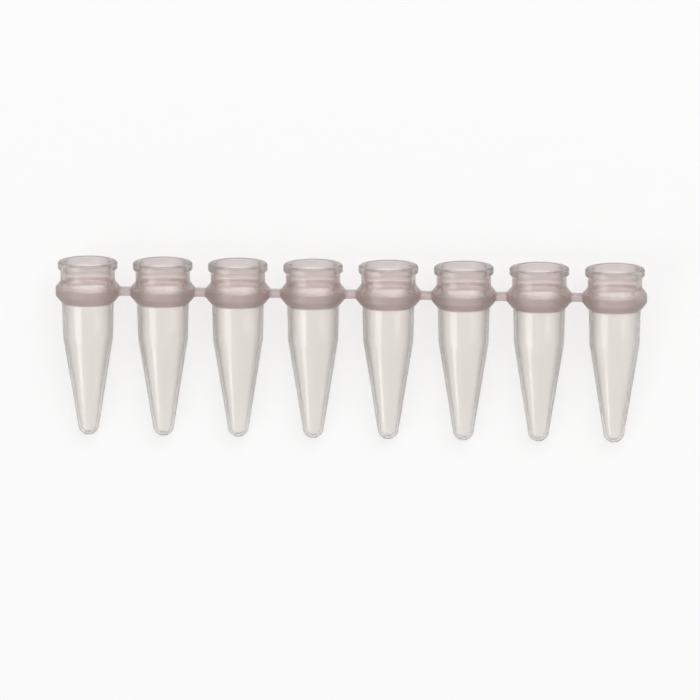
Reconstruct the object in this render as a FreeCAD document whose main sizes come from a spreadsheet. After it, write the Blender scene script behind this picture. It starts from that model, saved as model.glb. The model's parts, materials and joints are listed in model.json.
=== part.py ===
import FreeCAD, Part
import math
import os
from itertools import combinations

import Sketcher

# A strip of thin-walled tubes, moulded in one piece. Each tube has a flared rim, a narrower neck, a
# collar that stops it in a rack, a straight barrel and a cone with a round tip. Short flat links join
# the collars. The strip lies on its side: tips and collars touch the floor, and the mouths look
# along -Y and a little up. Sizes are in millimetres and degrees.

SIZES = {
    "tube_count": 8,
    "tube_height": 21.2,
    "mouth_diameter": 5.5,
    "mouth_depth": 4.4,
    "mouth_chamfer": 0.15,
    "neck_wall": 0.5,
    "neck_blend_radius": 0.4,
    "rim_flare": 0.32,
    "rim_land": 0.8,
    "rim_edge_radius": 0.25,
    "collar_reach": 0.6,
    "collar_drop": 4.1,
    "collar_land": 1.0,
    "collar_slope": 0.8,
    "collar_root_drop": 0.9,
    "collar_edge_radius": 0.5,
    "link_length": 1.3,
    "link_width": 2.0,
    "link_thickness": 0.8,
    "barrel_wall": 0.35,
    "barrel_draft": 0.1,
    "barrel_root_radius": 0.4,
    "cone_height": 12.0,
    "cone_blend_radius": 4.0,
    "tip_radius": 1.25,
    "tip_wall": 0.3,
}

# How a sketch numbers its own axes, and the points of its lines and arcs.
AXIS_ACROSS, AXIS_UP = -1, -2
START, END, CENTRE = 1, 2, 3

# Lengths under this one count as nothing.
NO_LENGTH = 1e-6

# Places that several features share, as expressions on the sheet. The tube's axis is its height.
MOUTH_RADIUS = "(sizes.mouth_diameter / 2)"
NECK_RADIUS = f"({MOUTH_RADIUS} + sizes.neck_wall)"
RIM_RADIUS = f"({NECK_RADIUS} + sizes.rim_flare)"
COLLAR_RADIUS = f"({NECK_RADIUS} + sizes.collar_reach)"
BARREL_RADIUS = f"({MOUTH_RADIUS} + sizes.barrel_wall)"
CONE_RADIUS = f"({BARREL_RADIUS} - sizes.barrel_draft)"
RIM_UNDERSIDE = "(sizes.tube_height - sizes.rim_land)"
COLLAR_UNDERSIDE = "(sizes.tube_height - sizes.collar_drop)"
COLLAR_SHOULDER = f"({COLLAR_UNDERSIDE} + sizes.collar_land)"
COLLAR_ROOT = f"({COLLAR_UNDERSIDE} - sizes.collar_root_drop)"
PITCH = f"(2 * {COLLAR_RADIUS} + sizes.link_length)"
ROW_LENGTH = f"((sizes.tube_count - 1) * {PITCH})"

# The corners of the outer skin from the cone up: how far across, how far up, and the radius.
OUTSIDE = [
    (CONE_RADIUS, "sizes.cone_height", "sizes.cone_blend_radius"),
    (BARREL_RADIUS, COLLAR_ROOT, "sizes.barrel_root_radius"),
    (COLLAR_RADIUS, COLLAR_UNDERSIDE, "sizes.collar_edge_radius"),
    (COLLAR_RADIUS, COLLAR_SHOULDER, "sizes.collar_edge_radius"),
    (NECK_RADIUS, f"{COLLAR_SHOULDER} + sizes.collar_slope", "sizes.neck_blend_radius"),
    (NECK_RADIUS, f"{RIM_UNDERSIDE} - sizes.rim_flare", "sizes.neck_blend_radius"),
    (RIM_RADIUS, RIM_UNDERSIDE, "sizes.rim_edge_radius"),
    (RIM_RADIUS, "sizes.tube_height", "sizes.rim_edge_radius"),
    ("0", "sizes.tube_height", None),
]


def make_sheet(doc):
    """The spreadsheet of driving dimensions, one alias for each."""
    sheet = doc.addObject("Spreadsheet::Sheet", "sizes")
    for row, (alias, value) in enumerate(SIZES.items(), start=1):
        sheet.set(f"A{row}", alias)
        sheet.set(f"B{row}", str(value))
        sheet.setAlias(f"B{row}", alias)
    doc.recompute()
    return sheet


def value_of(sheet, expression):
    """The number that an expression on the sheet comes to."""
    return float(sheet.evalExpression(expression.replace("sizes.", "")))


def add_sketch(body, name, plane_role):
    """A sketch on one of the body's own origin planes."""
    plane = next(f for f in body.Origin.OriginFeatures if f.Role == plane_role)
    sketch = body.newObject("Sketcher::SketchObject", name)
    sketch.AttachmentSupport = [(plane, "")]
    sketch.MapMode = "FlatFace"
    return sketch


def bind(sketch, kind, *where_and_value, expression):
    """Adds a driving constraint and binds it to an expression on the sheet."""
    index = sketch.addConstraint(Sketcher.Constraint(kind, *where_and_value))
    sketch.setExpression(f"Constraints[{index}]", expression)


def bind_point(sheet, sketch, geometry, point, across, up):
    """Fixes a point at a distance across from the vertical axis and up from the horizontal one."""
    for kind, expression in (("DistanceX", across), ("DistanceY", up)):
        value = value_of(sheet, expression)
        if abs(value) < NO_LENGTH:
            axis = AXIS_UP if kind == "DistanceX" else AXIS_ACROSS
            sketch.addConstraint(Sketcher.Constraint("PointOnObject", geometry, point, axis))
        else:
            bind(sketch, kind, AXIS_ACROSS, START, geometry, point, value, expression=expression)


def add_line(sketch, start, end):
    """A line between two points (across, up)."""
    return sketch.addGeometry(Part.LineSegment(FreeCAD.Vector(*start, 0), FreeCAD.Vector(*end, 0)))


def add_arc(sketch, start, end, centre, radius):
    """The shorter arc between two points. Returns it and which of its ends is at start."""
    def angle(point):
        return math.atan2(point[1] - centre[1], point[0] - centre[0])

    turn = (angle(end) - angle(start)) % (2 * math.pi)
    forward = turn < math.pi
    first, last = (angle(start), angle(end)) if forward else (angle(end), angle(start))
    circle = Part.Circle(FreeCAD.Vector(*centre, 0), FreeCAD.Vector(0, 0, 1), radius)
    arc = sketch.addGeometry(Part.ArcOfCircle(circle, first, last))
    return arc, (START if forward else END)


def other_end(end):
    """The end of a line or an arc that isn't this one."""
    return END if end == START else START


def round_of(before, corner, after, radius):
    """Where an arc of this radius leaves the two sides of a corner, and its centre."""
    def unit(point):
        length = math.dist(point, corner)
        return ((point[0] - corner[0]) / length, (point[1] - corner[1]) / length)

    back, on = unit(before), unit(after)
    half = math.acos(back[0] * on[0] + back[1] * on[1]) / 2
    trim, reach = radius / math.tan(half), radius / math.sin(half)
    middle = (back[0] + on[0], back[1] + on[1])
    length = math.hypot(*middle)
    start = (corner[0] + trim * back[0], corner[1] + trim * back[1])
    end = (corner[0] + trim * on[0], corner[1] + trim * on[1])
    centre = (corner[0] + reach * middle[0] / length, corner[1] + reach * middle[1] / length)
    return start, end, centre


def tangent_from(point, radius, height):
    """Where a line down from point touches the ball of the tip, which is centred on the axis."""
    across, up = point[0], point[1] - height
    distance = math.hypot(across, up)
    lean = math.atan2(up, across) - math.acos(radius / distance)
    return (radius * math.cos(lean), height + radius * math.sin(lean))


def draw_profile(sheet, sketch, tip_radius, tip_height, corners):
    """Half of a tube's section, from the axis out over the round tip and up to the axis again.

    tip_radius is the tip's ball, whose lowest point is at tip_height. Each corner is (across, up,
    radius), all expressions on the sheet, and radius is None where the corner stays sharp. The last
    corner is on the axis.
    """
    ball = value_of(sheet, tip_radius)
    foot = (0.0, value_of(sheet, tip_height))
    ball_centre = (0.0, foot[1] + ball)
    places = [(value_of(sheet, across), value_of(sheet, up)) for across, up, _ in corners]
    touch = tangent_from(places[0], ball, ball_centre[1])

    tip, tip_end = add_arc(sketch, foot, touch, ball_centre, ball)
    sketch.addConstraint(Sketcher.Constraint("PointOnObject", tip, CENTRE, AXIS_UP))
    bind_point(sheet, sketch, tip, tip_end, "0", tip_height)
    bind(sketch, "Radius", tip, ball, expression=tip_radius)

    previous, previous_end, start = tip, other_end(tip_end), touch
    smooth, pending = True, None
    for number, (across, up, radius) in enumerate(corners):
        corner = places[number]
        rounded = radius is not None
        if rounded:
            size = value_of(sheet, radius)
            before = start if number == 0 else places[number - 1]
            end, leave, centre = round_of(before, corner, places[number + 1], size)
        else:
            end = leave = corner
        line = add_line(sketch, start, end)
        kind = "Tangent" if smooth else "Coincident"
        sketch.addConstraint(Sketcher.Constraint(kind, previous, previous_end, line, START))
        if pending is not None:
            sketch.addConstraint(Sketcher.Constraint("PointOnObject", pending, START, line))
            pending = None
        if rounded:
            arc, arc_start = add_arc(sketch, end, leave, centre, size)
            pending = sketch.addGeometry(Part.Point(FreeCAD.Vector(*corner, 0)), True)
            sketch.addConstraint(Sketcher.Constraint("Tangent", line, END, arc, arc_start))
            sketch.addConstraint(Sketcher.Constraint("PointOnObject", pending, START, line))
            bind(sketch, "Radius", arc, size, expression=radius)
            bind_point(sheet, sketch, pending, START, across, up)
            previous, previous_end = arc, other_end(arc_start)
        else:
            bind_point(sheet, sketch, line, END, across, up)
            previous, previous_end = line, END
        smooth, start = rounded, leave

    axis = add_line(sketch, start, foot)
    sketch.addConstraint(Sketcher.Constraint("Coincident", previous, previous_end, axis, START))
    sketch.addConstraint(Sketcher.Constraint("Coincident", axis, END, tip, tip_end))


def draw_outside(sheet, sketch):
    """The outer skin: cone, barrel, collar, neck and rim."""
    draw_profile(sheet, sketch, "sizes.tip_radius", "0", OUTSIDE)


def draw_inside(sheet, sketch):
    """The hollow: the same cone and barrel less their walls, and the straight mouth that caps plug."""
    draw_profile(sheet, sketch, "sizes.tip_radius - sizes.tip_wall", "sizes.tip_wall", [
        (f"{CONE_RADIUS} - sizes.barrel_wall", "sizes.cone_height",
         "sizes.cone_blend_radius - sizes.barrel_wall"),
        (MOUTH_RADIUS, "sizes.tube_height - sizes.mouth_depth", None),
        (MOUTH_RADIUS, "sizes.tube_height - sizes.mouth_chamfer", None),
        (f"{MOUTH_RADIUS} + sizes.mouth_chamfer", "sizes.tube_height", None),
        ("0", "sizes.tube_height", None),
    ])


def draw_link_bar(sheet, sketch):
    """The bar that the links are left from, along the row from the first axis to the last."""
    length = value_of(sheet, ROW_LENGTH)
    half_width = value_of(sheet, "sizes.link_width / 2")
    corners = [(0, -half_width), (length, -half_width), (length, half_width), (0, half_width)]
    sides = [add_line(sketch, a, b) for a, b in zip(corners, corners[1:] + corners[:1])]
    for side, following in zip(sides, sides[1:] + sides[:1]):
        sketch.addConstraint(Sketcher.Constraint("Coincident", side, END, following, START))
    for side, kind in zip(sides, ("Horizontal", "Vertical", "Horizontal", "Vertical")):
        sketch.addConstraint(Sketcher.Constraint(kind, side))
    foot, far_side, _, near_side = sides
    bind(sketch, "DistanceX", foot, START, foot, END, length, expression=ROW_LENGTH)
    bind(sketch, "DistanceY", far_side, START, far_side, END, 2 * half_width,
         expression="sizes.link_width")
    sketch.addConstraint(
        Sketcher.Constraint("Symmetric", near_side, START, near_side, END, AXIS_ACROSS, START))


def repeat_along_row(body, name, feature, sketch):
    """Repeats a feature once for each tube, one pitch apart."""
    row = body.newObject("PartDesign::LinearPattern", name)
    row.Originals = [feature]
    row.Direction = (sketch, ["H_Axis"])
    row.setExpression("Length", ROW_LENGTH)
    row.setExpression("Occurrences", "sizes.tube_count")
    body.Tip = row
    body.Document.recompute()
    return row


def make_strip(doc, sheet):
    """The moulding, upright in its own frame with the first tube's tip at the origin."""
    body = doc.addObject("PartDesign::Body", "tube_strip")
    body.Label = "tube_strip"

    bar_sketch = add_sketch(body, "link_bar_plan", "XY_Plane")
    bar_sketch.setExpression(
        "AttachmentOffset.Base.z", f"{COLLAR_UNDERSIDE} + sizes.collar_land / 2")
    draw_link_bar(sheet, bar_sketch)
    bar = body.newObject("PartDesign::Pad", "link_bar")
    bar.Profile = bar_sketch
    bar.SideType = "Symmetric"
    bar.setExpression("Length", "sizes.link_thickness")

    outside_sketch = add_sketch(body, "outside_section", "XZ_Plane")
    draw_outside(sheet, outside_sketch)
    outside = body.newObject("PartDesign::Revolution", "tube_outside")
    outside.Profile = outside_sketch
    outside.ReferenceAxis = (outside_sketch, ["V_Axis"])
    repeat_along_row(body, "all_outsides", outside, outside_sketch)
    solid_volume = body.Shape.Volume

    inside_sketch = add_sketch(body, "inside_section", "XZ_Plane")
    draw_inside(sheet, inside_sketch)
    inside = body.newObject("PartDesign::Groove", "tube_inside")
    inside.Profile = inside_sketch
    inside.ReferenceAxis = (inside_sketch, ["V_Axis"])
    repeat_along_row(body, "all_insides", inside, inside_sketch)
    if not body.Shape.Volume < solid_volume:
        raise RuntimeError("the hollows were not cut")
    return body


class Disc:
    """A round of the tube's outline: where its centre is from the tip's point, and its radius."""

    def __init__(self, across, up, radius):
        self.across, self.up, self.radius = across, up, radius

    def span(self, lean):
        """Where along the floor it starts and ends, counting both sides of the tube."""
        middle = self.up * math.cos(lean)
        spread = self.across * math.sin(lean) + self.radius
        return middle - spread, middle + spread

    def bottom(self, lean):
        """Height of its lowest point over the point of the tip, with the axis leaning by lean."""
        return self.up * math.sin(lean) - self.across * math.cos(lean) - self.radius

    def contact(self, lean):
        """Where along the floor that lowest point lies, towards the mouth."""
        return self.up * math.cos(lean) + self.across * math.sin(lean)


def outline_discs(sheet):
    """The rounds of the outside that a lying tube can rest on: its tip and each outward corner."""
    tip = value_of(sheet, "sizes.tip_radius")
    places = [(value_of(sheet, across), value_of(sheet, up)) for across, up, _ in OUTSIDE]
    discs = [Disc(0, tip, tip)]
    befores = [tangent_from(places[0], tip, tip)] + places
    for before, corner, after, (_, _, radius) in zip(befores, places, places[1:], OUTSIDE):
        side = ((corner[0] - before[0]) * (after[1] - corner[1])
                - (corner[1] - before[1]) * (after[0] - corner[0]))
        if side > 0:
            size = value_of(sheet, radius)
            _, _, centre = round_of(before, corner, after, size)
            discs.append(Disc(*centre, size))
    return discs


def lying_lean(discs, balance_height):
    """How far the axis leans up from the floor: the tangent under two discs, all others above it,
    with the centre of mass between them."""
    for low, high in combinations(discs, 2):
        across, up = high.across - low.across, high.up - low.up
        lean = math.atan2(across, up) + math.asin((high.radius - low.radius) / math.hypot(across, up))
        floor = low.bottom(lean) - NO_LENGTH
        balance = balance_height * math.cos(lean)
        if (all(disc.bottom(lean) > floor for disc in discs)
                and low.contact(lean) < balance < high.contact(lean)):
            return lean
    raise RuntimeError("the strip has no side to lie on")


def lay_down(sheet, body):
    """Lays the strip on its side, centred on the origin, with the floor at zero height."""
    discs = outline_discs(sheet)
    lean = lying_lean(discs, body.Shape.CenterOfGravity.z)
    height = -min(disc.bottom(lean) for disc in discs)
    tip_end = min(disc.span(lean)[0] for disc in discs)
    mouth_end = max(disc.span(lean)[1] for disc in discs)
    body.Placement = FreeCAD.Placement(
        FreeCAD.Vector(-value_of(sheet, ROW_LENGTH) / 2, (tip_end + mouth_end) / 2, height),
        FreeCAD.Rotation(FreeCAD.Vector(1, 0, 0), 90 - math.degrees(lean)),
    )
    body.Document.recompute()
    return lean


def check_objects(doc):
    """Stops if any object of the document failed to build."""
    for item in doc.Objects:
        if "Invalid" in item.State or "Error" in item.State:
            raise RuntimeError(f"{item.Label} failed: {item.State}")
        if item.TypeId == "Sketcher::SketchObject" and not item.FullyConstrained:
            raise RuntimeError(f"{item.Label} isn't fully constrained")


def write_step(body):
    """Writes a sub-part's solid to the file that carries its label."""
    shape = body.Shape
    if shape.isNull() or not shape.isValid() or len(shape.Solids) != 1:
        raise RuntimeError(f"{body.Label} isn't one valid solid")
    shape.exportStep(os.path.join("parts", f"{body.Label}.step"))


def main():
    """Builds the strip, lays it down and writes it."""
    doc = FreeCAD.newDocument("tube_strip_model")
    sheet = make_sheet(doc)
    strip = make_strip(doc, sheet)
    lean = lay_down(sheet, strip)
    check_objects(doc)
    os.makedirs("parts", exist_ok=True)
    write_step(strip)
    box = strip.Shape.optimalBoundingBox(False)
    print(f"lean {math.degrees(lean):.4f} degrees, origin {strip.Placement.Base}")
    print(f"box {box.XLength:.3f} x {box.YLength:.3f} x {box.ZLength:.3f}, z from {box.ZMin:.4f}")
    print(f"volume {strip.Shape.Volume:.3f} mm3, pitch {value_of(sheet, PITCH):.3f}")


main()
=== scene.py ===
"""A strip of small thin-walled tubes in clear pink plastic, lying on its side on a pale table.

The strip is one moulding: each tube has a flared rim, a neck, a collar, a barrel and a cone with a
round tip, and short links join the collars. Lengths are in millimetres until a mesh is written.
"""

import json
import logging
import math
from dataclasses import dataclass, field
from enum import Enum
from typing import Union

import bpy
import numpy as np
from mathutils import Euler, Matrix, Vector


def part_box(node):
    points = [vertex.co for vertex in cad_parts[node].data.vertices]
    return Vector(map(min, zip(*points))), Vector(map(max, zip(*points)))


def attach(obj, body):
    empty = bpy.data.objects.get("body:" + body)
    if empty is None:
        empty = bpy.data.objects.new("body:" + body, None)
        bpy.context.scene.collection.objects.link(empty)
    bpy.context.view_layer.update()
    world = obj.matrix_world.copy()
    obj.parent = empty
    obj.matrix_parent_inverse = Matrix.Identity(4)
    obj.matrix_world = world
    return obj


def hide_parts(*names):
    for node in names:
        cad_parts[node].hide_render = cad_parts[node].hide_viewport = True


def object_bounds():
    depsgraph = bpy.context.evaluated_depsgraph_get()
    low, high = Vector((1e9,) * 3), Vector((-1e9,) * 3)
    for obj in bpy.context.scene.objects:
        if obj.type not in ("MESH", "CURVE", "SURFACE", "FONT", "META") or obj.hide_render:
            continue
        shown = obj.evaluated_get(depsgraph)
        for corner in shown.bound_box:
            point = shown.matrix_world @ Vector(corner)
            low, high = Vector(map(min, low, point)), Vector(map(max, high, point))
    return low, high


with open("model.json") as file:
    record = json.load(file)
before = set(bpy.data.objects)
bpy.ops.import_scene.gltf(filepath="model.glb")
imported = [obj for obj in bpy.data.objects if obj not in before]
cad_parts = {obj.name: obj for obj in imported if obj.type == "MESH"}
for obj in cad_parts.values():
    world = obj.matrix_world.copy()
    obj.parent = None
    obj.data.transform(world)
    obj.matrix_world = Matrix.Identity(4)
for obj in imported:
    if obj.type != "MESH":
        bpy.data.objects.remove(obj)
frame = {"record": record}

MM = 0.001
NODE = "tube_strip"
BODY = "root"
SLOT = "pink_clear_plastic"

# How far an arc's straight steps may lie inside the true arc, and the fewest steps it takes.
ARC_ERROR = 0.0015
FEWEST_STEPS = 2

# A Mix node's sockets for colours, which share their names with its sockets for other kinds.
MIX_FACTOR = 0
MIX_LOW = 6
MIX_HIGH = 7
MIX_RESULT = 2

# What glows in this colour, at this strength, is seen as plain white.
WHITE = (1.0, 1.0, 1.0)
WHITE_STRENGTH = 1.0

# The way along the row of tubes, and what mirrors a point along it.
SIDE = Vector((1.0, 0.0, 0.0))
MIRROR = (-1, 1, 1)

Colour = tuple[float, float, float]
Place = tuple[float, float, float]
Point = tuple[float, float]
Face = tuple[int, ...]
Plug = Union["Value", float, Colour, Euler]

log = logging.getLogger("tube_strip")


class Ray(Enum):
    """The kinds of ray that a Light Path node can tell apart."""

    CAMERA = "Is Camera Ray"
    SHADOW = "Is Shadow Ray"
    GLOSSY = "Is Glossy Ray"
    TRANSMISSION = "Is Transmission Ray"


class Operation(Enum):
    """What a Math or Vector Math node does."""

    ADD = "ADD"
    SUBTRACT = "SUBTRACT"
    MULTIPLY = "MULTIPLY"
    GREATER = "MAXIMUM"


class Blend(Enum):
    """How two colours mix."""

    PLAIN = "MIX"
    TINT = "MULTIPLY"


class Part(Enum):
    """The parts of a tube that are thicker than its barrel: the head deeper in pink and in painted
    shade, the collar and the rim darkened by painted shade.
    """

    HEAD = "everything from the collar up"
    COLLAR = "the collar"
    RIM = "the rim"


class Way(Enum):
    """The two ways along the row of tubes."""

    NEXT = 1
    BEFORE = -1


class Value:
    """A node's output, on which sums can be written as Python expressions."""

    def __init__(self, graph: "Graph", socket: bpy.types.NodeSocket) -> None:
        """Wraps an output socket of a graph."""
        self.graph = graph
        self.socket = socket

    def __add__(self, other: Plug) -> "Value":
        """The sum of two values or vectors."""
        return self.graph.maths(Operation.ADD, self, other)

    def __radd__(self, other: Plug) -> "Value":
        """The sum, with this value second."""
        return self.graph.maths(Operation.ADD, other, self)

    def __sub__(self, other: Plug) -> "Value":
        """The difference."""
        return self.graph.maths(Operation.SUBTRACT, self, other)

    def __rsub__(self, other: Plug) -> "Value":
        """The difference, with this value second."""
        return self.graph.maths(Operation.SUBTRACT, other, self)

    def __mul__(self, other: Plug) -> "Value":
        """The product."""
        return self.graph.maths(Operation.MULTIPLY, self, other)

    def __rmul__(self, other: Plug) -> "Value":
        """The product, with this value second."""
        return self.graph.maths(Operation.MULTIPLY, other, self)


class Graph:
    """The node graph of a material or of the world."""

    def __init__(self, tree: bpy.types.NodeTree) -> None:
        """Empties the tree, to build in it."""
        self.tree = tree
        tree.nodes.clear()

    def node(
        self,
        kind: str,
        settings: dict[str, object] | None = None,
        inputs: dict[str | int, Plug] | None = None,
    ) -> bpy.types.Node:
        """Adds a node.

        Args:
            kind: The node's type, such as "ShaderNodeTexNoise".
            settings: Its own settings, set first.
            inputs: Values or links of its sockets, by name or number.

        Returns:
            The new node.
        """
        made = self.tree.nodes.new(kind)
        for name, value in (settings or {}).items():
            setattr(made, name, value)
        for key, value in (inputs or {}).items():
            self._plug(made.inputs[key], value)
        return made

    def _plug(self, socket: bpy.types.NodeSocket, value: Plug) -> None:
        """Links a socket or sets its value.

        Args:
            socket: The input socket.
            value: A link's source, a number, a colour or three angles.
        """
        if isinstance(value, Value):
            self.tree.links.new(value.socket, socket)
        elif socket.type == "RGBA":
            socket.default_value = (*value, 1.0)
        else:
            socket.default_value = value

    def value(self, kind: str, output: str | int, **parts: dict) -> Value:
        """Adds a node as node() does, and returns the output of this name or number."""
        return Value(self, self.node(kind, **parts).outputs[output])

    def maths(self, operation: Operation, first: Plug, second: Plug) -> Value:
        """Adds a Math node, or a Vector Math node if either side is a vector.

        Args:
            operation: What the node does.
            first: The first number or vector.
            second: The second.

        Returns:
            The result.
        """
        sides = (first, second)
        is_vector = any(isinstance(side, Value) and side.socket.type == "VECTOR" for side in sides)
        kind = "ShaderNodeVectorMath" if is_vector else "ShaderNodeMath"
        output = "Vector" if is_vector else "Value"
        settings = {"operation": operation.value}
        return self.value(kind, output, settings=settings, inputs=dict(enumerate(sides)))

    def mix(self, factor: Plug, low: Plug, high: Plug, blend: Blend = Blend.PLAIN) -> Value:
        """Mixes two colours.

        Args:
            factor: Share of the second colour.
            low: The first colour.
            high: The second colour.
            blend: How they mix.

        Returns:
            The mixed colour.
        """
        settings = {"data_type": "RGBA", "blend_type": blend.value}
        inputs = {MIX_FACTOR: factor, MIX_LOW: low, MIX_HIGH: high}
        return self.value("ShaderNodeMix", MIX_RESULT, settings=settings, inputs=inputs)

    def blend(self, factor: Plug, first: Value, second: Value) -> Value:
        """Blends two surfaces, by a factor that is the share of the second."""
        inputs = dict(enumerate((factor, first, second)))
        return self.value("ShaderNodeMixShader", "Shader", inputs=inputs)

    def spread(
        self, source: Plug, low: float, high: float, to_low: float, to_high: float
    ) -> Value:
        """Maps a range of values onto another, smoothly and with both ends held.

        Args:
            source: The value.
            low: Where its range starts.
            high: Where its range ends.
            to_low: The result at the start.
            to_high: The result at the end.

        Returns:
            The mapped value.
        """
        settings = {"interpolation_type": "SMOOTHSTEP"}
        inputs = {
            "Value": source,
            "From Min": low,
            "From Max": high,
            "To Min": to_low,
            "To Max": to_high,
        }
        return self.value("ShaderNodeMapRange", "Result", settings=settings, inputs=inputs)

    def ray(self, *kinds: Ray) -> Value:
        """One where the ray is of any of these kinds, and zero elsewhere.

        Args:
            kinds: The kinds of ray.

        Returns:
            The mask.
        """
        path = self.node("ShaderNodeLightPath")
        total = Value(self, path.outputs[kinds[0].value])
        for kind in kinds[1:]:
            total = self.maths(Operation.GREATER, total, Value(self, path.outputs[kind.value]))
        return total


def add_object(name: str, points: list[Place], faces: list[Face]) -> bpy.types.Object:
    """Adds a mesh object to the scene.

    Args:
        name: The object's name.
        points: The corners, in metres.
        faces: The faces, as numbers of corners.

    Returns:
        The object.
    """
    mesh = bpy.data.meshes.new(name)
    mesh.from_pydata(points, [], faces)
    piece = bpy.data.objects.new(name, mesh)
    bpy.context.scene.collection.objects.link(piece)
    return piece


def arc_steps(radius: float, turn: float) -> int:
    """How many straight steps an arc of this radius takes over this turn, in radians."""
    return max(FEWEST_STEPS, math.ceil(turn / (2 * math.acos(1 - ARC_ERROR / radius))))


@dataclass(frozen=True)
class Corner:
    """A corner of the tube's section, rounded by an arc if it has a radius."""

    across: float
    up: float
    radius: float = 0.0

    @property
    def place(self) -> Vector:
        """The corner's sharp point."""
        return Vector((self.across, self.up))

    def arc(self, before: "Corner", after: "Corner") -> list[Point]:
        """The arc that rounds the corner.

        Args:
            before: The corner before it.
            after: The corner after it.

        Returns:
            The arc's points.
        """
        back = (before.place - self.place).normalized()
        ahead = (after.place - self.place).normalized()
        half = back.angle(ahead) / 2
        middle = (back + ahead).normalized()
        centre = self.place + middle * self.radius / math.sin(half)
        turn = math.pi - 2 * half
        steps = arc_steps(self.radius, turn)
        way = 1 if back.cross(ahead) > 0 else -1
        swings = [way * turn * (0.5 - step / steps) for step in range(steps + 1)]
        arms = [Matrix.Rotation(swing, 2) @ middle * self.radius for swing in swings]
        return [tuple(centre - arm) for arm in arms]


def rounded(corners: list[Corner]) -> list[Point]:
    """The line through the corners, with an arc at each inner one that has a radius.

    Args:
        corners: The corners in order. The first and the last stay sharp.

    Returns:
        The points of the line.
    """
    points = [tuple(corners[0].place)]
    for before, corner, after in zip(corners, corners[1:], corners[2:]):
        points += corner.arc(before, after) if corner.radius else [tuple(corner.place)]
    return points + [tuple(corners[-1].place)]


@dataclass(frozen=True)
class TubeSection:
    """Half of one tube's section. Heights are from the point of the tip, along the tube's axis."""

    mouth_radius: float
    height: float = 21.2
    mouth_depth: float = 4.4
    mouth_edge: float = 0.15
    mouth_blend: float = 1.5
    neck_wall: float = 0.5
    neck_blend: float = 0.4
    rim_flare: float = 0.32
    rim_land: float = 0.8
    rim_edge: float = 0.25
    collar_reach: float = 0.6
    collar_drop: float = 4.1
    collar_land: float = 1.0
    collar_slope: float = 0.8
    collar_root_drop: float = 0.9
    collar_edge: float = 0.5
    barrel_wall: float = 0.35
    barrel_draft: float = 0.1
    barrel_root: float = 0.4
    cone_height: float = 12.0
    cone_blend: float = 4.0
    tip_radius: float = 1.25
    tip_wall: float = 0.3
    gate_radius: float = 0.5
    gate_floor: float = 0.15
    gate_edge: float = 0.02
    nub_radius: float = 0.16
    nub_top: float = 0.04

    @property
    def neck_radius(self) -> float:
        """Outer radius of the neck."""
        return self.mouth_radius + self.neck_wall

    @property
    def rim_radius(self) -> float:
        """Outer radius of the rim."""
        return self.neck_radius + self.rim_flare

    @property
    def rim_bottom(self) -> float:
        """Height of the rim's underside."""
        return self.height - self.rim_land

    @property
    def collar_bottom(self) -> float:
        """Height of the collar's underside."""
        return self.height - self.collar_drop

    @property
    def collar_root(self) -> float:
        """Height where the collar's cone leaves the barrel."""
        return self.collar_bottom - self.collar_root_drop

    @property
    def link_height(self) -> float:
        """Height of the middle of the links."""
        return self.collar_bottom + self.collar_land / 2

    @property
    def rim_top(self) -> Corner:
        """The middle of the rim's flat top, where the outer skin meets the hollow."""
        mouth, rim = self.mouth_radius + self.mouth_edge, self.rim_radius - self.rim_edge
        return Corner((mouth + rim) / 2, self.height)

    def ball(self, wall: float, start: float, target: Point) -> list[Point]:
        """The round tip, from beside the axis to where the cone's side leaves it.

        Args:
            wall: How deep under the outer skin the arc lies.
            start: How far across the arc starts.
            target: The point that the cone's side runs to.

        Returns:
            The arc's points.
        """
        radius = self.tip_radius - wall
        across, up = target[0], target[1] - self.tip_radius
        low = math.asin(start / radius) - math.pi / 2
        high = math.atan2(up, across) - math.acos(radius / math.hypot(across, up))
        angles = np.linspace(low, high, arc_steps(radius, high - low) + 1)
        return [(radius * math.cos(a), self.tip_radius + radius * math.sin(a)) for a in angles]

    def gate_mark(self, edge: Point) -> list[Point]:
        """The shallow dimple in the tip with the broken end of the gate in it.

        Args:
            edge: Where the dimple meets the tip's ball.

        Returns:
            The points from beside the axis to the dimple's edge.
        """
        return rounded([
            Corner(self.nub_radius / 2, self.nub_top),
            Corner(self.nub_radius, self.nub_top, self.gate_edge),
            Corner(self.nub_radius, self.gate_floor, self.gate_edge),
            Corner(self.gate_radius, self.gate_floor, self.gate_edge),
            Corner(*edge),
        ])[:-1]

    def outside(self) -> list[Point]:
        """The outer skin, from beside the tip's point to the middle of the rim's top.

        Returns:
            The points of its line.
        """
        barrel = self.mouth_radius + self.barrel_wall
        collar = self.neck_radius + self.collar_reach
        collar_top = self.collar_bottom + self.collar_land
        cone = Corner(barrel - self.barrel_draft, self.cone_height, self.cone_blend)
        tip = self.ball(0.0, self.gate_radius, tuple(cone.place))
        upper = [
            Corner(*tip[-1]),
            cone,
            Corner(barrel, self.collar_root, self.barrel_root),
            Corner(collar, self.collar_bottom, self.collar_edge),
            Corner(collar, collar_top, self.collar_edge),
            Corner(self.neck_radius, collar_top + self.collar_slope, self.neck_blend),
            Corner(self.neck_radius, self.rim_bottom - self.rim_flare, self.neck_blend),
            Corner(self.rim_radius, self.rim_bottom, self.rim_edge),
            Corner(self.rim_radius, self.height, self.rim_edge),
            self.rim_top,
        ]
        return self.gate_mark(tip[0]) + tip[:-1] + rounded(upper)

    def inside(self) -> list[Point]:
        """The hollow, from the mouth's edge down to beside the tip.

        Returns:
            The points of its line.
        """
        barrel = self.mouth_radius - self.barrel_draft
        cone = Corner(barrel, self.cone_height, self.cone_blend - self.barrel_wall)
        tip = self.ball(self.tip_wall, self.nub_radius, tuple(cone.place))
        upper = [
            self.rim_top,
            Corner(self.mouth_radius, self.height, self.mouth_edge),
            Corner(self.mouth_radius, self.height - self.mouth_depth, self.mouth_blend),
            cone,
            Corner(*tip[-1]),
        ]
        return rounded(upper)[1:] + tip[-2::-1]


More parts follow.
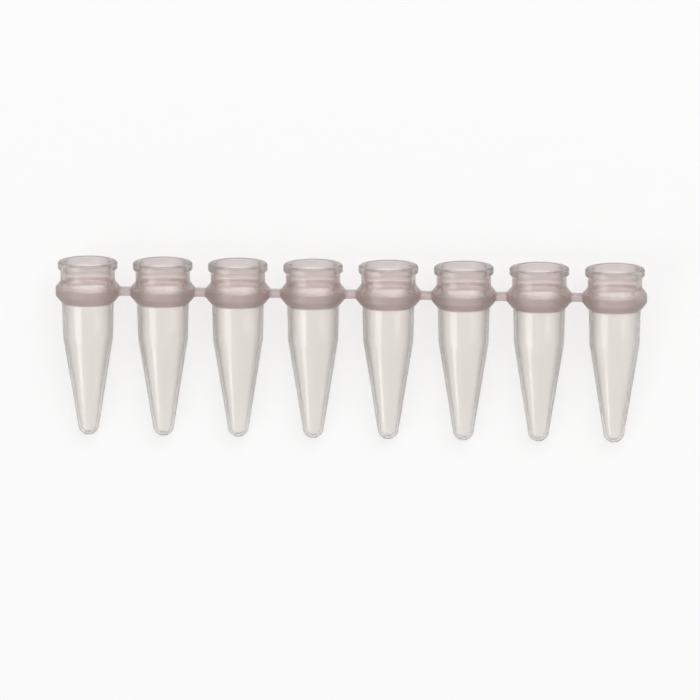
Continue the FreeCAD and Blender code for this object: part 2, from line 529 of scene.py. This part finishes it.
@dataclass(frozen=True)
class Link:
    """The short bar that joins the collars of two neighbours."""

    width: float = 2.0
    thickness: float = 0.8
    edge: float = 0.2
    blend: float = 0.22
    blend_steps: int = 5
    columns: int = 5

    def rows(self, skin: np.ndarray, middle: float) -> tuple[int, int]:
        """The rings of a collar between which the bar and its blend leave it.

        Args:
            skin: Points of the outer skin's line, across and up.
            middle: Height of the bar's middle.

        Returns:
            The numbers of the lowest and the highest ring.
        """
        reach = (self.thickness + self.blend) / 2
        edges = (middle - reach, middle + reach)
        low, high = (int(np.argmin(abs(skin[:, 1] - edge))) for edge in edges)
        return low, high

    def section(self, root: np.ndarray, middle: float) -> tuple[np.ndarray, np.ndarray]:
        """Fits a loop of points on a collar to the bar's rounded section.

        Args:
            root: The loop's points.
            middle: Height of the bar's middle.

        Returns:
            Where the same points lie on the bar, across the row and up.
        """
        half = np.array([self.width, self.thickness]) / 2
        low, high = root[:, 1:].min(axis=0), root[:, 1:].max(axis=0)
        spans = ((root[:, 1:] - low) / (high - low) * 2 - 1) * half
        core = np.clip(spans, self.edge - half, half - self.edge)
        arm = spans - core
        placed = core + arm * self.edge / np.linalg.norm(arm, axis=1, keepdims=True)
        return placed[:, 0], placed[:, 1] + middle

    def rings(
        self, root: np.ndarray, skin: np.ndarray, middle: float, reach: float
    ) -> list[np.ndarray]:
        """The rings of points from one collar to half way along the bar.

        Args:
            root: The points on the collar that the bar grows from.
            skin: Points of the outer skin's line, across and up, with the heights rising.
            middle: Height of the bar's middle.
            reach: How far from the tube's axis half way along lies.

        Returns:
            The rings, the last one half way along.
        """
        across, up = self.section(root, middle)
        radius = np.interp(up, skin[:, 1], skin[:, 0])
        knee = np.stack([np.sqrt(radius ** 2 - across ** 2), across, up], axis=1)
        end = knee + np.array([self.blend, 0, 0])
        shares = [step / self.blend_steps for step in range(1, self.blend_steps + 1)]
        bend = [(1 - t) ** 2 * root + 2 * t * (1 - t) * knee + t ** 2 * end for t in shares]
        return bend + [np.stack([np.full(len(up), reach), across, up], axis=1)]


@dataclass
class Skin:
    """Points and faces as they are put together."""

    points: list[np.ndarray] = field(default_factory=list)
    faces: list[Face] = field(default_factory=list)
    total: int = 0

    def add(self, points: np.ndarray) -> int:
        """Adds points.

        Args:
            points: The points.

        Returns:
            The number of the first of them.
        """
        first = self.total
        self.points.append(points)
        self.total += len(points)
        return first

    def bridge(self, near: list[int], far: list[int]) -> None:
        """Adds the faces between two closed loops, each given by its points' numbers."""
        for a, b, c, d in zip(near, near[1:] + near[:1], far[1:] + far[:1], far):
            self.faces.append((a, b, c, d))


@dataclass
class TubeStrip:
    """The whole moulding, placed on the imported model's mouths and floor."""

    record: dict
    box: tuple[Vector, Vector]
    columns: int = 96
    link: Link = field(default_factory=Link)
    section: TubeSection = field(init=False)
    axis: Vector = field(init=False)
    first: Vector = field(init=False)
    count: int = field(init=False)
    pitch: float = field(init=False)

    def __post_init__(self) -> None:
        """Takes the tubes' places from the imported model."""
        mouths = [m for m in self.record["mounts"] if m["kind"] == "bore"]
        places = [Vector(m["pos_m"]) / MM for m in mouths]
        self.section = TubeSection(mouth_radius=mouths[0]["dims"]["r_mm"])
        self.axis = Vector(mouths[0]["axis"]).normalized()
        self.count = len(mouths)
        self.pitch = (places[-1] - places[0]).length / (self.count - 1)
        tip = self.section.tip_radius
        ball = Vector((places[0].x, self.box[1].y / MM - tip, self.box[0].z / MM + tip))
        self.first = ball - self.axis * tip

    @property
    def turn(self) -> Matrix:
        """The turn from a tube's own frame to the lying one."""
        return Matrix((SIDE, self.axis.cross(SIDE), self.axis)).transposed()

    @property
    def foot(self) -> float:
        """How far along the tubes' axes their lowest points lie."""
        return self.first.dot(self.axis)

    def tube_points(self, line: np.ndarray) -> np.ndarray:
        """Rings of points over the whole skin of a tube, then the two points on its axis.

        Args:
            line: The points of its section's line, across and up.

        Returns:
            The points.
        """
        across, up = line.T
        around = np.arange(self.columns) * 2 * math.pi / self.columns
        rings = np.stack([
            np.outer(across, np.cos(around)),
            np.outer(across, np.sin(around)),
            np.repeat(up[:, None], self.columns, axis=1),
        ], axis=2)
        poles = [(0.0, 0.0, self.section.nub_top), (0.0, 0.0, self.section.tip_wall)]
        return np.concatenate([rings.reshape(-1, 3), poles])

    def ring(self, row: int) -> list[int]:
        """The numbers of one ring's points within a tube."""
        return list(range(row * self.columns, (row + 1) * self.columns))

    def patch_middle(self, way: Way) -> int:
        """The column in the middle of the side that looks this way along the row."""
        return 0 if way is Way.NEXT else self.columns // 2

    def patch_loop(self, rows: tuple[int, int], way: Way) -> list[int]:
        """The points round the patch of a collar that a link grows from.

        Args:
            rows: The patch's lowest and highest ring.
            way: The side that the patch is on.

        Returns:
            Their numbers within the tube, in the order that suits the link.
        """
        low, high = rows
        wide = self.link.columns
        middle = self.patch_middle(way)
        cells = [(low, k) for k in range(-wide, wide)]
        cells += [(row, wide) for row in range(low, high)]
        cells += [(high, k) for k in range(wide, -wide, -1)]
        cells += [(row, -wide) for row in range(high, low, -1)]
        return [self.ring(row)[(middle + way.value * k) % self.columns] for row, k in cells]

    def in_patch(self, column: int, way: Way) -> bool:
        """Whether a face that starts at this column lies in the patch on this side of the tube."""
        start = self.patch_middle(way) - self.link.columns
        return (column - start) % self.columns < 2 * self.link.columns

    def tube_faces(self, ring_count: int, rows: tuple[int, int], sides: list[Way]) -> list[Face]:
        """The faces of one tube, open where links join it.

        Args:
            ring_count: Number of rings.
            rows: The lowest and the highest ring of a link's patch.
            sides: The sides where links join it.

        Returns:
            The faces, as numbers of points within the tube.
        """
        faces = []
        for row in range(ring_count - 1):
            below, above = self.ring(row), self.ring(row + 1)
            linked = sides if rows[0] <= row < rows[1] else []
            for k in range(self.columns):
                if not any(self.in_patch(k, way) for way in linked):
                    after = (k + 1) % self.columns
                    faces.append((below[k], below[after], above[after], above[k]))
        outer_pole = ring_count * self.columns
        inner_pole = outer_pole + 1
        first, last = self.ring(0), self.ring(ring_count - 1)
        for k in range(self.columns):
            after = (k + 1) % self.columns
            faces.append((outer_pole, first[after], first[k]))
            faces.append((last[k], last[after], inner_pole))
        return faces

    def skin(self) -> Skin:
        """The whole strip's skin, upright, with the first tube's axis at the middle.

        Returns:
            The skin's points and faces.
        """
        outside = np.array(self.section.outside())
        line = np.concatenate([outside, self.section.inside()])
        points = self.tube_points(line)
        middle = self.section.link_height
        rows = self.link.rows(outside, middle)
        ahead, behind = self.patch_loop(rows, Way.NEXT), self.patch_loop(rows, Way.BEFORE)
        patch = outside[rows[0]:rows[1] + 1]
        half = self.link.rings(points[ahead], patch, middle, self.pitch / 2)
        step = np.array([self.pitch, 0, 0])
        whole = half + [ring * MIRROR + step for ring in half[-2::-1]]

        skin = Skin()
        for i in range(self.count):
            sides = [Way.BEFORE] * (i > 0) + [Way.NEXT] * (i < self.count - 1)
            start = skin.add(points + i * step)
            faces = self.tube_faces(len(line), rows, sides)
            skin.faces += [tuple(start + p for p in face) for face in faces]
        for i in range(self.count - 1):
            loops = [[i * len(points) + p for p in ahead]]
            for ring in whole:
                start = skin.add(ring + i * step)
                loops.append(list(range(start, start + len(ring))))
            loops.append([(i + 1) * len(points) + p for p in behind])
            for near, far in zip(loops, loops[1:]):
                skin.bridge(near, far)
        return skin

    def build(self) -> bpy.types.Object:
        """Builds the strip as one closed mesh, lying on its side.

        Returns:
            The strip's object.
        """
        skin = self.skin()
        placed = np.concatenate(skin.points) @ np.array(self.turn).T + np.array(self.first)
        piece = add_object("clear_tube_strip", (placed * MM).tolist(), skin.faces)
        piece.data.shade_smooth()
        piece.data.validate()
        piece.modifiers.new("even_shading", "WEIGHTED_NORMAL")
        return piece

    def dress(self, piece: bpy.types.Object) -> None:
        """Gives the strip its plastic."""
        piece.data.materials.append(ClearPlastic().material(self))


@dataclass(frozen=True)
class Band:
    """A stretch of every tube, with soft ends. Heights are from the tip's point."""

    low: float
    high: float
    rise: float = 0.25
    fall: float = 0.25

    def share(self, graph: Graph, height: Value) -> Value:
        """How far a point lies within the band, from 0 outside to 1 well inside.

        Args:
            graph: The material's graph.
            height: Height along the tube.

        Returns:
            The share.
        """
        rising = graph.spread(height, self.low, self.low + self.rise, 0.0, 1.0)
        falling = graph.spread(height, self.high - self.fall, self.high, 1.0, 0.0)
        return rising * falling


@dataclass(frozen=True)
class ClearPlastic:
    """Pale pink polypropylene: clear, a little hazy, and deeper in colour where it is thick, with
    painted shade on the head's bands and painted edge shade at grazing angles.

    The margin, rise and fall are in millimetres. A pattern's size is how many it has to a metre.
    """

    tint: Colour = (0.955, 0.942, 0.922)
    flow_tint: Colour = (0.935, 0.917, 0.897)
    # The head's tint is a deeper pink for its thicker walls plus painted shade; the collar's and the
    # rim's grey tints are painted shade.
    head_tint_and_shade: Colour = (0.955, 0.892, 0.896)
    collar_painted_shade: Colour = (0.73, 0.7, 0.71)
    rim_painted_shade: Colour = (0.81, 0.84, 0.845)
    band_margin: float = 0.3
    collar_rise: float = 0.4
    collar_fall: float = 1.0
    collar_haze: float = 0.3
    # Painted edge shade: a grey darkening where the skin is seen at a grazing angle, kept to a share
    # of it on the collar.
    collar_edge_shade_share: float = 0.3
    painted_edge_shade: Colour = (0.38, 0.36, 0.35)
    edge_shade_span: tuple[float, float] = (0.2, 0.9)
    absorbed: Colour = (0.965, 0.935, 0.925)
    density: float = 800.0
    refraction: float = 1.49
    clearness: float = 0.88
    gloss: tuple[float, float] = (0.1, 0.24)
    flow_size: float = 900.0
    flow_stretch: float = 0.12
    flow_detail: float = 3.0
    flow_span: tuple[float, float] = (0.35, 0.75)
    grain_size: float = 2600.0
    grain_detail: float = 2.0
    grain_share: float = 0.25
    bump_depth: float = 0.00004
    bump_strength: float = 0.06
    lamp_share: float = 0.7
    lamp_tint: Colour = (0.985, 0.965, 0.955)

    def shares(self, graph: Graph, height: Value, section: TubeSection) -> dict[Part, Value]:
        """How far a point lies within each of the thicker parts of a tube.

        Args:
            graph: The material's graph.
            height: Height along the tube.
            section: The tube's section.

        Returns:
            Each part's share.
        """
        margin = self.band_margin
        low, high = section.collar_root, section.height + margin
        fade = section.collar_bottom + section.collar_land + self.collar_fall / 2
        bands = {
            Part.HEAD: Band(low, high),
            Part.COLLAR: Band(low, fade, rise=self.collar_rise, fall=self.collar_fall),
            Part.RIM: Band(section.rim_bottom - margin, high),
        }
        return {part: band.share(graph, height) for part, band in bands.items()}

    def colour(self, graph: Graph, flow: Value, shares: dict[Part, Value]) -> Value:
        """The tint that light takes at each skin: streaked, deepened in pink and in painted shade on
        the head's bands, and greyed by painted edge shade at grazing angles.

        Args:
            graph: The material's graph.
            flow: Streaks left by the melt.
            shares: How far a point lies within each thicker part.

        Returns:
            The colour.
        """
        streaks = graph.spread(flow, *self.flow_span, 0.0, 1.0)
        shade = graph.mix(streaks, self.tint, self.flow_tint)
        # The head's band deepens the pink and paints shade on it; the collar's and the rim's bands
        # paint shade.
        tints_and_shades = {
            Part.HEAD: self.head_tint_and_shade,
            Part.COLLAR: self.collar_painted_shade,
            Part.RIM: self.rim_painted_shade,
        }
        for part, tint in tints_and_shades.items():
            shade = graph.mix(shares[part], shade, tint, Blend.TINT)
        # Painted edge shade: the colour darkens towards grey where the outer skin is seen at a
        # grazing angle, less on the collar.
        facing = graph.value("ShaderNodeLayerWeight", "Facing")
        outer = 1.0 - graph.value("ShaderNodeNewGeometry", "Backfacing")
        edge_shade_mask = graph.spread(facing, *self.edge_shade_span, 0.0, 1.0) * outer
        softened_edge_shade_mask = edge_shade_mask * (1.0 - shares[Part.COLLAR] * (1.0 - self.collar_edge_shade_share))
        return graph.mix(softened_edge_shade_mask, shade, self.painted_edge_shade, Blend.TINT)

    def noise(self, graph: Graph, place: Value, size: float, detail: float) -> Value:
        """A fixed pattern of soft blotches: size is how many to a metre, detail how fine they go."""
        inputs = {"Vector": place, "Scale": size, "Detail": detail}
        return graph.value("ShaderNodeTexNoise", "Fac", inputs=inputs)

    def material(self, strip: TubeStrip) -> bpy.types.Material:
        """Builds the material.

        Args:
            strip: The strip that it is for.

        Returns:
            The material.
        """
        made = bpy.data.materials.new(SLOT)
        made.use_nodes = True
        graph = Graph(made.node_tree)
        lying = graph.value("ShaderNodeTexCoord", "Object")
        upright = {"Vector": lying, "Rotation": strip.turn.inverted().to_euler()}
        place = graph.value("ShaderNodeMapping", "Vector", inputs=upright)
        along = graph.value("ShaderNodeSeparateXYZ", "Z", inputs={"Vector": place})
        height = along * (1 / MM) - strip.foot
        shares = self.shares(graph, height, strip.section)
        stretched = place * (1.0, 1.0, self.flow_stretch)
        flow = self.noise(graph, stretched, self.flow_size, self.flow_detail)
        grain = self.noise(graph, place, self.grain_size, self.grain_detail)
        uneven = flow * (1 - self.grain_share) + grain * self.grain_share
        gloss = graph.spread(uneven, *self.flow_span, *self.gloss)
        roughness = gloss + shares[Part.COLLAR] * self.collar_haze
        bump = graph.value("ShaderNodeBump", "Normal", inputs={
            "Strength": self.bump_strength,
            "Distance": self.bump_depth,
            "Height": uneven,
        })
        plastic = graph.value("ShaderNodeBsdfPrincipled", "BSDF", inputs={
            "Base Color": self.colour(graph, flow, shares),
            "Roughness": roughness,
            "IOR": self.refraction,
            "Transmission Weight": self.clearness,
            "Normal": bump,
        })
        through = {"Color": self.lamp_tint}
        lamp_way = graph.value("ShaderNodeBsdfTransparent", "BSDF", inputs=through)
        surface = graph.blend(graph.ray(Ray.SHADOW) * self.lamp_share, plastic, lamp_way)
        inside = {"Color": self.absorbed, "Density": self.density}
        volume = graph.value("ShaderNodeVolumeAbsorption", "Volume", inputs=inside)
        graph.node("ShaderNodeOutputMaterial", inputs={"Surface": surface, "Volume": volume})
        return made


@dataclass(frozen=True)
class Table:
    """The pale table top that the strip lies on. Its lift is the share of plain white in it."""

    radius: float = 3.0
    corners: int = 64
    colour: Colour = (0.95, 0.95, 0.945)
    roughness: float = 0.9
    sheen: float = 0.2
    lift: float = 0.6

    def build(self) -> bpy.types.Object:
        """Builds the table top as a large disc.

        Returns:
            The table top's object.
        """
        angles = [2 * math.pi * k / self.corners for k in range(self.corners)]
        points = [(self.radius * math.cos(a), self.radius * math.sin(a), 0.0) for a in angles]
        piece = add_object("table_top", points, [tuple(range(self.corners))])
        piece.data.materials.append(self.material())
        return piece

    def material(self) -> bpy.types.Material:
        """A matt white finish that shows white and keeps the shadows.

        Returns:
            The material.
        """
        made = bpy.data.materials.new("pale_table")
        made.use_nodes = True
        graph = Graph(made.node_tree)
        matt = graph.value("ShaderNodeBsdfPrincipled", "BSDF", inputs={
            "Base Color": self.colour,
            "Roughness": self.roughness,
            "Specular IOR Level": self.sheen,
        })
        glow = {"Color": WHITE, "Strength": WHITE_STRENGTH}
        white = graph.value("ShaderNodeEmission", "Emission", inputs=glow)
        seen = graph.ray(Ray.CAMERA, Ray.GLOSSY, Ray.TRANSMISSION)
        surface = graph.blend(seen * self.lift, matt, white)
        graph.node("ShaderNodeOutputMaterial", inputs={"Surface": surface})
        return made


@dataclass(frozen=True)
class SoftBox:
    """A square studio lamp that points at the strip, its place and size in metres."""

    name: str
    place: Place
    size: float
    power: float

    def build(self) -> None:
        """Adds the lamp, turned towards the middle of the table."""
        lamp = bpy.data.lights.new(self.name, "AREA")
        lamp.size = self.size
        lamp.energy = self.power
        made = bpy.data.objects.new(self.name, lamp)
        made.location = self.place
        made.rotation_euler = (-made.location).to_track_quat("-Z", "Y").to_euler()
        bpy.context.scene.collection.objects.link(made)


@dataclass(frozen=True)
class Studio:
    """The lamps, and the room's even light, white where it is looked at."""

    key: SoftBox = SoftBox("key_lamp", place=(-0.2, -0.42, 0.6), size=0.9, power=4.1)
    side: SoftBox = SoftBox("side_lamp", place=(0.5, 0.3, 0.5), size=0.4, power=1.2)
    room: float = 0.45

    def build(self) -> None:
        """Adds the lamps and makes the world."""
        for lamp in (self.key, self.side):
            lamp.build()
            log.info("%s: %.1f W", lamp.name, lamp.power)
        world = bpy.data.worlds.new("studio")
        bpy.context.scene.world = world
        world.use_nodes = True
        graph = Graph(world.node_tree)
        glows = [{"Color": WHITE, "Strength": level} for level in (self.room, WHITE_STRENGTH)]
        light, white = (
            graph.value("ShaderNodeBackground", "Background", inputs=glow) for glow in glows
        )
        seen = graph.ray(Ray.CAMERA, Ray.GLOSSY, Ray.TRANSMISSION)
        graph.node("ShaderNodeOutputWorld", inputs={"Surface": graph.blend(seen, light, white)})


@dataclass(frozen=True)
class Camera:
    """A long lens above the strip, which looks a little into the mouths, with angles in degrees."""

    lens: float = 400.0
    sensor: float = 36.0
    view_width: float = 0.0835
    dip: float = 12.0
    yaw: float = 4.0
    far_end: float = 20.0

    def build(self, axis: Vector, middle: Vector) -> bpy.types.Object:
        """Adds the camera and makes it the scene's.

        Args:
            axis: The way the mouths look.
            middle: The point to look at.

        Returns:
            The camera.
        """
        dip, yaw = math.radians(self.dip), math.radians(self.yaw)
        level = axis.cross(SIDE) * math.cos(yaw) - SIDE * math.sin(yaw)
        towards = level * math.cos(dip) + axis * math.sin(dip)
        right = axis.cross(towards).normalized()
        distance = self.view_width * self.lens / self.sensor
        data = bpy.data.cameras.new("camera")
        data.lens = self.lens
        data.sensor_width = self.sensor
        data.clip_end = self.far_end
        made = bpy.data.objects.new("camera", data)
        turn = Matrix((right, towards.cross(right), towards)).transposed()
        made.matrix_world = Matrix.Translation(middle + towards * distance) @ turn.to_4x4()
        bpy.context.scene.collection.objects.link(made)
        bpy.context.scene.camera = made
        return made


def main() -> None:
    """Builds the strip, the table, the light and the camera."""
    logging.basicConfig(level=logging.INFO, format="%(name)s: %(message)s")
    cad_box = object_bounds()
    bpy.context.scene.view_settings.view_transform = "Standard"

    strip = TubeStrip(frame["record"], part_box(NODE))
    piece = strip.build()
    strip.dress(piece)
    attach(piece, BODY)
    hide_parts(NODE)
    log.info("%s: %d tubes, %d faces", piece.name, strip.count, len(piece.data.polygons))

    table = Table()
    top = table.build()
    log.info("%s: %.1f m across", top.name, 2 * table.radius)

    Studio().build()
    camera = Camera().build(strip.axis, (cad_box[0] + cad_box[1]) / 2)
    log.info("%s: %.0f mm lens", camera.name, camera.data.lens)


if __name__ == "__main__":
    main()
